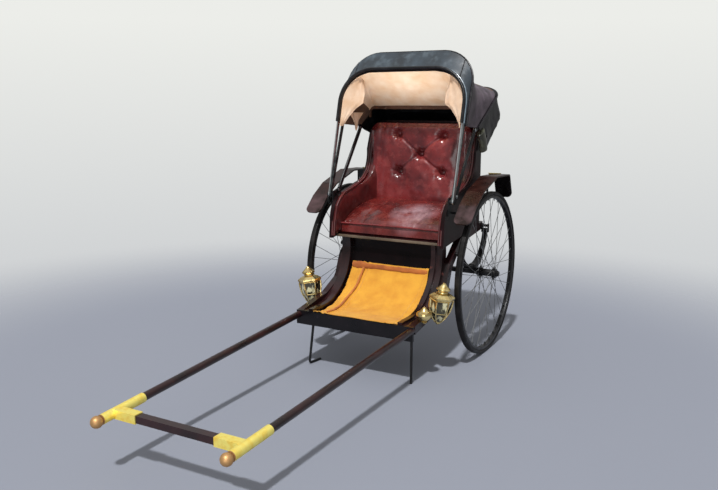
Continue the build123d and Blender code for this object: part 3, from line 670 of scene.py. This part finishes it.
def make_lining():
    """Cream cloth from the front hoop back to the slat, deeper at its sides, with drawn creases."""
    def where(share, along):
        point = between(LINING_ARCHES, share, along)
        hold = math.sin(math.pi * along)
        fold = hump(share - 0.36, 1, 0.012) + hump(share - 0.41, 1, 0.01) + hump(share - 0.62, 1.6, 0.014)
        drop = 10 * hold * math.sin(math.pi * share) + 9 * (hold + 0.15) * fold
        drop += (hold + 0.1) * (5 * wave(point, 110, 1) + 4 * wave((point.x * 2, point.y, point.z), 45, 5))
        inward = -0.5 if point.x > 0 else 0.5
        return point + Vector((inward * drop, 0, -drop))

    lining = piece("hood_lining", mapped(110, 40, where), LINING, None, 60, 1.5)
    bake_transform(lining)
    width, length = cloth_size(LINING_ARCHES)
    declare_sheet(lining, (width, length))


def make_lining_flaps():
    """Two gathered flaps that hang inside the front hoop, from its corners to points at the legs."""
    outer = LINING_ARCHES[0]._replace(half=377, lean=14)
    lean = math.radians(FLAP_LEAN)
    for side, sign in SIDES:
        def where(across, along):
            at = along * (len(FLAP_EDGE) - 1)
            first = min(int(at), len(FLAP_EDGE) - 2)
            x, reach = Vector(FLAP_EDGE[first]).lerp(Vector(FLAP_EDGE[first + 1]), at - first)
            rim = arch_point(outer, 0.5 + sign * (0.16 + 0.34 * along))
            y = PIVOT[0] + reach * math.sin(lean)
            edge = Vector((sign * x, y, PIVOT[1] + reach * math.cos(lean)))
            ripple = 5 * math.sin(across * 15) * across * (1.2 - along) + 4 * wave(edge, 60, 3) * across
            return rim.lerp(edge, across) + Vector((0, ripple, 0))

        sheet = mapped(24, 40, where)
        flap = piece("lining_flap_" + side, sheet, FLAP_CLOTH_SHADED, "hood_front", 60, 1.5)
        declare_sheet(flap, FLAP_FLAT)
        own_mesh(flap)


def make_curtain_end():
    """Cream cloth that hangs at the inner left and rides the rear frame."""
    def where(across, along):
        high = Vector((-END_X, -185, 1396)).lerp(Vector((-END_X, -10, 1392)), along)
        low = Vector((-END_X, -130 + 60 * along, 1345 - 60 * math.sin(math.pi * along) ** 2))
        return high.lerp(low, across) + Vector((11 + 2 * math.sin(along * 12), 0, 0))

    end = piece("curtain_end", mapped(20, 16, where), FLAP_CLOTH_SHADED, "hood_rear", 60, 1.5)
    declare_sheet(end, END_FLAT)
    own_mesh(end)


def make_side_linings():
    """Dark brown sheets inside each side of the hood, painted shade for the cream lining's shaded sides,
    with the cream end beside the left one.
    """
    roof = [shifted(MIDDLE_ARCH, 15, -15), shifted(WAIST_ARCH, 0, -9), shifted(REAR_ARCH, -15, -15)]
    for side, sign in SIDES:
        def where(across, along):
            point = between(roof, 0.5 + sign * (0.12 + 0.38 * across), along)
            hold = math.sin(math.pi * along)
            return point + Vector((-sign * hold * (3 + 3 * wave(point, 50, 2)), 0, 0))

        sheet = mapped(24, 30, where)
        lining = piece("side_lining_" + side, sheet, LINING_SHADE, None, 60, 1.5)
        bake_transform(lining)
        declare_sheet(lining, SIDE_LINING_FLAT)
        if side == "left":
            make_curtain_end()


def make_curtain_roll():
    """The curtain rolled up and tied behind the right side of the seat back."""
    bm = bmesh.new()
    pipe(bm, ROLL, ROLL_R, 16, 2.2)
    rims = [edge for edge in bm.edges if edge.calc_face_angle(0) > 1.2]
    bmesh.ops.bevel(bm, geom=rims, offset=6, affect="EDGES", segments=3, profile=0.5, material=-1)
    piece("curtain_roll", bm, ROLL_CLOTH, "hood_rear", 50)


def make_strut_sleeves():
    """Black leather sleeves drawn over the two rear struts, flat so that they pass the seat body."""
    foot, head = [Vector((0, *end)) for end in STRUT_ENDS]
    for side, sign in SIDES:
        bm = bmesh.new()
        path = [foot.lerp(head, i / 12) for i in range(13)]
        pipe(bm, [(sign * STRUT_X, at.y, at.z) for at in path], 7.5, 12, 1.9)
        piece("strut_sleeve_" + side, bm, DARK_LEATHER, "hood_rear")


def make_hood_seams():
    """Two raised seams over the hood's front band."""
    bm = bmesh.new()
    for share in SEAM_SHARES:
        front = arch_point(shifted(FRONT_ARCH, 12, 2), share)
        rear = arch_point(shifted(MIDDLE_ARCH, -12, 2), share)
        pipe(bm, [front.lerp(rear, i / 6) for i in range(7)], 2.6)
    piece("hood_band_seams", bm, DARK_LEATHER, "hood_front")


# Upholstery
def swollen(node, name, inset, cap):
    """A cushion from a CAD pad: drawn in a little, remeshed, then blown up as cloth and held to a cap."""
    mesh = NODES[node].data.copy()
    made = bpy.data.objects.new(name, mesh)
    bpy.context.scene.collection.objects.link(made)
    bm = bmesh.new()
    bm.from_mesh(mesh)
    bmesh.ops.remove_doubles(bm, verts=bm.verts[:], dist=0.0001)
    bm.to_mesh(mesh)
    bm.free()
    remesh = made.modifiers.new("remesh", "REMESH")
    remesh.mode = "VOXEL"
    remesh.voxel_size = VOXEL_M
    bake(made)
    rest = [v.co.copy() for v in made.data.vertices]
    normals = [v.normal.copy() for v in made.data.vertices]
    for vertex, normal in zip(made.data.vertices, normals):
        vertex.co -= normal * inset * MM
    cloth = made.modifiers.new("cloth", "CLOTH")
    cloth.settings.use_pressure = True
    cloth.settings.uniform_pressure_force = CLOTH_PRESSURE
    cloth.settings.effector_weights.gravity = 0
    cloth.settings.quality = 3
    cloth.point_cache.frame_start = 1
    cloth.point_cache.frame_end = CLOTH_FRAMES
    scene = bpy.context.scene
    for number in range(1, CLOTH_FRAMES + 1):
        scene.frame_set(number)
    bake(made)
    scene.frame_set(1)
    for vertex, home in zip(made.data.vertices, rest):
        move = vertex.co - home
        if move.length > cap * MM:
            vertex.co = home + move * (cap * MM / move.length)
    return made


def bake(made):
    """Applies every modifier of an object to its mesh."""
    graph = bpy.context.evaluated_depsgraph_get()
    final = made.evaluated_get(graph)
    mesh = bpy.data.meshes.new_from_object(final, preserve_all_data_layers=True, depsgraph=graph)
    made.modifiers.clear()
    made.data = mesh


def dress(made, node, material, shape):
    for vertex in made.data.vertices:
        point = Vector((vertex.co.x / MM, (vertex.co.y - AXLE_Y) / MM, vertex.co.z / MM))
        vertex.co = place(*shape(point))
    bm = bmesh.new()
    bm.from_mesh(made.data)
    bmesh.ops.smooth_vert(bm, verts=bm.verts[:], factor=0.5, use_axis_x=True, use_axis_y=True,
                          use_axis_z=True)
    bm.to_mesh(made.data)
    bm.free()
    made.data.shade_smooth()
    made.data.materials.clear()
    made.data.materials.append(material)
    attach(made, "root")
    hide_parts(node)


def pleat(point, first, last):
    """How deep the pleat from one button to another lies at a point."""
    run = Vector((last[0] - first[0], last[1] - first[1]))
    away = Vector((point.x - first[0], point.z - first[1]))
    share = max(0.0, min(1.0, away.dot(run) / run.length_squared))
    fade = 1 - 0.45 * math.sin(math.pi * share)
    return PLEAT_DEPTH * hump((away - run * share).length, fade, PLEAT_W)


def back_shape(point):
    """Buttoned back: deep dimples at the buttons, pleats between them, full between."""
    if point.y > BACK_FACE + PAD_REACH:
        return point
    front = (BACK_FACE + PAD_REACH - point.y) / PAD_REACH
    pull = 0.0
    for x, z in BUTTONS:
        gap = math.hypot(point.x - x, point.z - z)
        pull += hump(gap, *DIMPLE) + hump(gap, *HOLLOW)
        turn = math.atan2(point.z - z, point.x - x)
        pull += math.sin(turn * 7 + x) * hump(gap - 34, 2.2, 15)
    for first, last in PLEATS:
        pull += pleat(point, BUTTONS[first], BUTTONS[last])
    for x in BACK_FOLDS:
        pull += hump(point.x - x - 0.1 * (point.z - 1100), *BACK_FOLD)
    swell = 12 * (1 - (point.x / 340) ** 2) * math.sin(math.pi * min(1, max(0, (point.z - 760) / 600)))
    swell += 4 * wave(point, 120, 2) + 2 * wave(point, 45, 4)
    roll = hump(point.z - BACK_TOP, *TOP_ROLL)
    return point + Vector((0, front * (pull - swell - 8 + roll * 0.3), 0))


def seat_shape(point):
    """Seat squab: crowned, with a hollow worn in its middle and drawn wrinkles across its front."""
    top = SEAT_FRONT[1] + (point.y - SEAT_FRONT[0]) * SEAT_SLOPE
    if point.z < top - PAD_REACH:
        return point
    crown = 10 * math.cos(math.pi * point.x / 700) - hump(point.x - 40, *SEAT_HOLLOW)
    crown += 4 * wave(point, 130, 6) + 1.5 * wave(point, 40, 9)
    for x, width in SEAT_WRINKLES:
        crown -= hump(point.x - x - 0.2 * point.y, 4, width)
    return point + Vector((0, 0, crown))


def wing_shape(point):
    """Wing squab: soft, with upright folds where it turns into the back."""
    if abs(point.x) >= BODY_HALF - WALL_T - 3:
        return point
    side = 1 if point.x > 0 else -1
    fold = sum(hump(point.y - y, *WING_FOLD) for y in WING_FOLDS)
    puff = 3 * wave(point, 90, 7) + 1.5 * wave(point, 40, 2)
    return point + Vector((side * (fold + puff), 0, 0))


def make_upholstery():
    """Seat, back and wing squabs, the buttons, and the welts along the arms and the seat's front."""
    seat = swollen("seat_cushion", "seat_squab", 5, 9)
    dress(seat, "seat_cushion", SQUAB_LEATHER, seat_shape)
    back = swollen("back_cushion", "back_squab", 6, 10)
    dress(back, "back_cushion", SEAT_LEATHER, back_shape)
    for side in ("left", "right"):
        wing = swollen("wing_pad_" + side, "wing_squab_" + side, 3, 5)
        dress(wing, "wing_pad_" + side, WING_LEATHER_SHADED, wing_shape)
    bm = bmesh.new()
    for x, z in BUTTONS:
        face = Matrix.Translation((x, BACK_FACE + 21, z)) @ Matrix.Rotation(math.radians(90), 4, "X")
        lathe(bm, [(-6, 0), (-6, 12), (0, 14), (5, 11), (8, 5), (9, 0)], face, 20)
    piece("seat_buttons", bm, SEAT_LEATHER, "root")
    for side, sign in SIDES:
        bm = bmesh.new()
        for x, radius in ((342, 6.5), (329, 6)):
            pipe(bm, [(sign * x, y, z) for y, z in ARM_LINE], radius, 12)
        # the arm welts take the darker leather: painted shade
        piece("arm_welt_" + side, bm, WING_LEATHER_SHADED, "root")
    bm = bmesh.new()
    edge = [(x, -342 - 2 * math.cos(x / 110), 757 + 4 * math.cos(x / 210)) for x in range(-322, 323, 14)]
    pipe(bm, edge, 5, 10)
    piece("seat_front_welt", bm, SEAT_LEATHER, "root")


# Footwell
def through(first, middle, last, share):
    """A point a share of the way along the circle arc through three points."""
    (ax, ay), (bx, by), (cx, cy) = first, middle, last
    d = 2 * (ax * (by - cy) + bx * (cy - ay) + cx * (ay - by))
    a, b, c = ax * ax + ay * ay, bx * bx + by * by, cx * cx + cy * cy
    ux = (a * (by - cy) + b * (cy - ay) + c * (ay - by)) / d
    uy = (a * (cx - bx) + b * (ax - cx) + c * (bx - ax)) / d
    turns = [math.atan2(y - uy, x - ux) for x, y in (first, middle, last)]
    total = (turns[2] - turns[0]) % (2 * math.pi)
    if (turns[1] - turns[0]) % (2 * math.pi) > total:
        total -= 2 * math.pi
    radius = math.hypot(ax - ux, ay - uy)
    angle = turns[0] + total * share
    return ux + radius * math.cos(angle), uy + radius * math.sin(angle)


def floor_point(back, share):
    """A point of the footwell's curve, a distance back from the rail's front edge."""
    low = RAIL_LOW - back
    knee = (-394 + back * 0.8, 470 - back * 0.6)
    if share < FLAT_TO:
        return MAT_FRONT + 115 * share / FLAT_TO, low
    if share < CURVE_TO:
        hollow = (-487 + back * 0.35, 384 - back * 0.94)
        return through((-640, low), hollow, knee, (share - FLAT_TO) / (CURVE_TO - FLAT_TO))
    rise = (share - CURVE_TO) / (1 - CURVE_TO) * RISE_SHARE
    return through(knee, (-350 + back, 575), (-352 + back, 680), rise)


def make_mat():
    """Amber cloth in the footwell: its front edge over the apron, folds at its left with a darker strip of
    painted shade along the main one, and a rolled hem.
    """
    def fold_at(along):
        return -204 + 34 * along + 5 * math.sin(along * 9) + 5 * wave((0, along * 400, 0), 60, 9)

    def where(across, along):
        y, z = floor_point(FLOOR_BACK, along)
        x = (across - 0.5) * 2 * MAT_HALF
        edge = abs(across - 0.5) * 2
        ruck = 6 * max(0, edge - 0.82) / 0.18 * (0.6 + wave((x, y * 2, z * 2), 30, 4))
        for off, high, width in RUCKS:
            rise = high * (0.75 + 0.6 * wave((off, y * 1.3, z * 1.3), 45, 7))
            ruck += hump(x - fold_at(along) - off, rise, width)
        ruck += hump(along - 0.97, 4, 0.03)
        ruck += 2.5 * (wave((x, y, z), 80, 2) + 0.6)
        x += 6 * edge * (-1 if across < 0.5 else 1) * wave((0, y, z), 70, 6) - 4 * (across - 0.5)
        lift = max(0.4, ruck + 4)
        lip = max(0.0, 1 - along / LIP_SHARE)
        return Vector((x, y - lift * 0.55 - LIP_REACH * lip, z + lift * 0.8 + LIP_RISE * lip ** 0.6))

    def round_hem(around, along):
        x = (along * 2 - 1) * HEM_HALF
        y, z = floor_point(FLOOR_BACK, HEM_SHARE)
        thick = 11 + hump(x + 190, 8, 42) + 2.5 * wave((x, around * 90, 0), 26, 3)
        turn = 2 * math.pi * around
        return Vector((x, y - 9 + 0.55 * thick * math.cos(turn) + 3 * wave((x, 0, 0), 60, 1),
                       z + 4 + 1.25 * thick * math.sin(turn) + 4 * wave((x, 9, 0), 70, 5)))

    mat = piece("foot_mat_cloth", mapped(150, 80, where), MAT_CLOTH, "root", 60, 2.5)
    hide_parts("foot_mat")
    bm = mapped(20, 90, round_hem)
    bmesh.ops.remove_doubles(bm, verts=bm.verts[:], dist=0.01)
    bmesh.ops.holes_fill(bm, edges=bm.edges[:], sides=0)
    # painted shade: a darker orange strip laid along the main fold
    fold = []
    for share in [i / MAT_STEPS for i in range(4, 38)]:
        y, z = floor_point(FLOOR_BACK, share)
        sway, rise = 2 * wave((0, y, z), 20, 2), 2 * wave((0, z, y), 24, 4)
        fold.append((fold_at(share) + 7, y - 10 + sway, z + 14 + rise))
    pipe(bm, fold, 6, 10, 0.7)
    hem = piece("foot_mat_hem", bm, MAT_HEM_AND_FOLD_SHADE, "root")
    line = [Vector(floor_point(FLOOR_BACK, i / MAT_STEPS)) for i in range(MAT_STEPS + 1)]
    run = sum((after - before).length for before, after in zip(line, line[1:]))
    declare_sheet(mat, (2.1 * MAT_HALF * MM, run * 1.12 * MM))


# Small metal and wood pieces
def make_trim():
    """The pale strip under the seat's front, and the bolts of the rear struts."""
    bm = bmesh.new()
    block(bm, *STRIP, 2)
    piece("seat_board_trim", bm, PALE_TRIM, "root")
    for side, sign in SIDES:
        bm = bmesh.new()
        for y, z, radius in BOLTS:
            quarter = Matrix.Rotation(math.radians(90 * sign), 4, "Y")
            turn = Matrix.Translation((sign * BOLT_X, y, z)) @ quarter
            lathe(bm, [(-10, 0), (-10, radius), (3, radius), (5, radius * 0.8), (6, 0)], turn, 12)
        piece("hood_bolts_" + side, bm, BRIGHT, "hood_rear")


def make_wheel_details():
    """Spoke nipples at the rim and a turned ring at each end of each hub."""
    rim = WHEEL_R - TYRE_T - RIM_T
    for side, sign in SIDES:
        at = sign * WHEEL_X
        bm = bmesh.new()
        for number in range(SPOKES):
            turn = Matrix.Rotation(math.radians(360 * number / SPOKES), 4, "X")
            low = Matrix.Translation((at + (3 if number % 2 else -3), 0, WHEEL_R)) @ turn
            lathe(bm, [(rim - 16, 0), (rim - 16, 2.4), (rim - 2, 3), (rim - 2, 0)], low, 6)
        piece("spoke_nipples_" + side, bm, DULL, "wheel_" + side)
        bm = bmesh.new()
        turn = Matrix.Translation((at, 0, WHEEL_R)) @ Matrix.Rotation(math.radians(90 * sign), 4, "Y")
        for height in (30, -34):
            lathe(bm, [(height, 21.5), (height, 25), (height + 4, 25), (height + 4, 21.5)], turn, 24)
        piece("hub_rings_" + side, bm, IRON, "wheel_" + side)


def make_lamps():
    """Six-sided glass bodies with brass bars and hoops, and one brass bulb on the right member."""
    corners = [math.radians(60 * number) for number in range(7)]
    for side, sign in SIDES:
        x, y, z = LAMP_AT
        lean = Matrix.Rotation(math.radians(LAMP_LEAN) * sign, 4, "Y")
        base = Matrix.Translation((sign * x, y, z)) @ lean @ Matrix.Rotation(math.radians(30), 4, "Z")
        bm = bmesh.new()
        lathe(bm, PANES, base, 6)
        piece("lamp_glass_" + side, bm, GLASS, "root", 15)
        bm = bmesh.new()
        for corner in corners[:-1]:
            turn = base @ Matrix.Rotation(corner, 4, "Z")
            pipe(bm, [turn @ Vector((radius + 0.5, 0, height)) for height, radius in PANES], 4.2, 6)
        for height, radius in LAMP_HOOPS:
            hoop = [base @ Vector((radius * math.cos(a), radius * math.sin(a), height)) for a in corners]
            for first, last in zip(hoop, hoop[1:]):
                pipe(bm, [first, last], 3.4, 6)
        piece("lamp_bars_" + side, bm, LAMP_BRASS, "root")
    bm = bmesh.new()
    lathe(bm, BULB, Matrix.Translation(BULB_AT), 24)
    piece("brass_bulb", bm, LAMP_BRASS, "root")


def make_fender_gussets():
    """A small khaki cloth stretched in the rear corner under each fender board."""
    for side, sign in SIDES:
        bm = bmesh.new()
        bm.faces.new([bm.verts.new((sign * x, y, z)) for x, y, z in GUSSET])
        bmesh.ops.subdivide_edges(bm, edges=bm.edges[:], cuts=2, use_grid_fill=True)
        piece("fender_gusset_" + side, bm, GUSSET_CLOTH, "root", 30, 2)


# Finishes of the pieces that the frame brings, by how their names start
FINISHES = [
    ("tyre_", RUBBER), ("wire_wheel_", WHEEL_PAINT), ("axle", IRON), ("spring", IRON), ("leg_", IRON),
    ("fender_stays", IRON), ("fender_", FENDER), ("hood_pivots", IRON), ("hood_rear_frame", IRON),
    ("hood_front_legs", BRIGHT), ("hood_middle_legs", DULL), ("hood_front_hoop", DARK_LEATHER),
    ("hood_middle_hoop", DARK_LEATHER), ("hood_back_slat", SLAT_WOOD), ("tee_", TEE_BRASS),
    ("lamp_arms", IRON), ("lamp_", LAMP_BRASS), ("apron_board", APRON), ("body_side_", PANEL),
    ("foot_floor", DARK_BOARD), ("body_back", PANEL), ("", WOOD),
]


def finish_nodes():
    """Puts each finish on the frame's own pieces."""
    for name, node in NODES.items():
        material = next(m for start_of, m in FINISHES if name.startswith(start_of))
        if node.data.materials:
            for slot in node.material_slots:
                slot.material = material
        else:
            node.data.materials.append(material)


# Stage
def add_camera():
    """The camera that the photograph was taken from."""
    data = bpy.data.cameras.new("camera")
    camera = bpy.data.objects.new("camera", data)
    bpy.context.scene.collection.objects.link(camera)
    turn = Matrix((CAMERA_RIGHT, CAMERA_UP, CAMERA_BACK)).transposed()
    camera.matrix_world = Matrix.Translation(Vector(CAMERA_AT) + Vector((0, AXLE_Y, 0))) @ turn.to_4x4()
    data.sensor_width = SENSOR
    data.lens = CAMERA_LENS
    data.clip_end = 100
    bpy.context.scene.camera = camera


def add_lights():
    """A high sun, a broad low fill, and a small fill that only lights the lining under the hood."""
    sun = bpy.data.lights.new("high_sun", "SUN")
    sun.energy = 3.4
    sun.angle = math.radians(3)
    fill = bpy.data.lights.new("low_fill", "AREA")
    fill.size = 2.6
    fill.energy = 44
    inner = bpy.data.lights.new("hood_fill", "AREA")
    inner.shape = "RECTANGLE"
    inner.size = 0.5
    inner.size_y = 0.12
    inner.energy = 0.72
    inner.spread = math.radians(70)
    for data, at, aim in ((sun, (0.11, -0.51, 0.85), (0, 0, 0)), (fill, (1.3, -4.9, 0.8), (0, -0.2, 1.4)),
                          (inner, (0, -0.36, 1.02), (0, -0.17, 1.66))):
        lamp = bpy.data.objects.new(data.name, data)
        lamp.location = Vector(at) + Vector((0, AXLE_Y, 0))
        lamp.rotation_euler = (Vector(at) - Vector(aim)).to_track_quat("Z", "Y").to_euler()
        lamp.visible_camera = False
        lamp.visible_glossy = data is not inner
        bpy.context.scene.collection.objects.link(lamp)


def add_sky():
    """An even white sky, dimmer at its edge so that gloss has contrast, and a plain pale backdrop."""
    world = bpy.data.worlds.new("sky")
    bpy.context.scene.world = world
    world.use_nodes = True
    tree = world.node_tree
    light = tree.nodes["Background"]
    light.inputs["Color"].default_value = (1, 1, 1, 1)
    up = add(tree, "SeparateXYZ", {0: add(tree, "TexCoord").outputs["Generated"]}).outputs["Z"]
    span = {"Value": up, "From Min": 0.0, "From Max": 0.8, "To Min": 0.24, "To Max": 0.62}
    tree.links.new(add(tree, "MapRange", span).outputs["Result"], light.inputs["Strength"])
    high = add(tree, "MapRange", {"Value": up, "From Min": -0.45, "From Max": 0.10}).outputs["Result"]
    plain = add(tree, "Background", {"Color": blended(tree, high, "B4B8C0", "ECEDE9"), "Strength": 1.0})
    path = add(tree, "LightPath")
    seen = add(tree, "Math", {0: path.outputs["Is Camera Ray"], 1: path.outputs["Is Transmission Ray"]},
               operation="MAXIMUM")
    both = add(tree, "MixShader", {0: seen.outputs[0], 1: light.outputs[0], 2: plain.outputs[0]})
    tree.links.new(both.outputs[0], tree.nodes["World Output"].inputs["Surface"])


def add_floor():
    """A plain pale floor that fades into the backdrop."""
    bm = bmesh.new()
    bmesh.ops.create_circle(bm, cap_ends=True, segments=64, radius=FLOOR_R)
    mesh = bpy.data.meshes.new("floor")
    bm.to_mesh(mesh)
    bm.free()
    floor = bpy.data.objects.new("floor", mesh)
    made, tree, shader, where = start("pale_floor", Roughness=0.8)
    shader.inputs["Base Color"].default_value = linear("80848F")
    away = add(tree, "VectorMath", {0: where}, operation="LENGTH").outputs["Value"]
    fade = add(tree, "MapRange", {"Value": away, "From Min": FADE_FROM, "From Max": FADE_TO},
               interpolation_type="SMOOTHSTEP").outputs["Result"]
    clear = add(tree, "BsdfTransparent")
    mixed = add(tree, "MixShader", {0: fade, 1: shader.outputs[0], 2: clear.outputs[0]})
    tree.links.new(mixed.outputs[0], tree.nodes["Material Output"].inputs["Surface"])
    mesh.materials.append(made)
    bpy.context.scene.collection.objects.link(floor)


finish_nodes()
make_hood()
make_lining()
make_lining_flaps()
make_side_linings()
make_curtain_roll()
make_strut_sleeves()
make_hood_seams()
make_upholstery()
make_mat()
make_trim()
make_wheel_details()
make_lamps()
make_fender_gussets()

add_camera()
add_lights()
add_sky()
add_floor()
bpy.context.scene.view_settings.view_transform = "Standard"
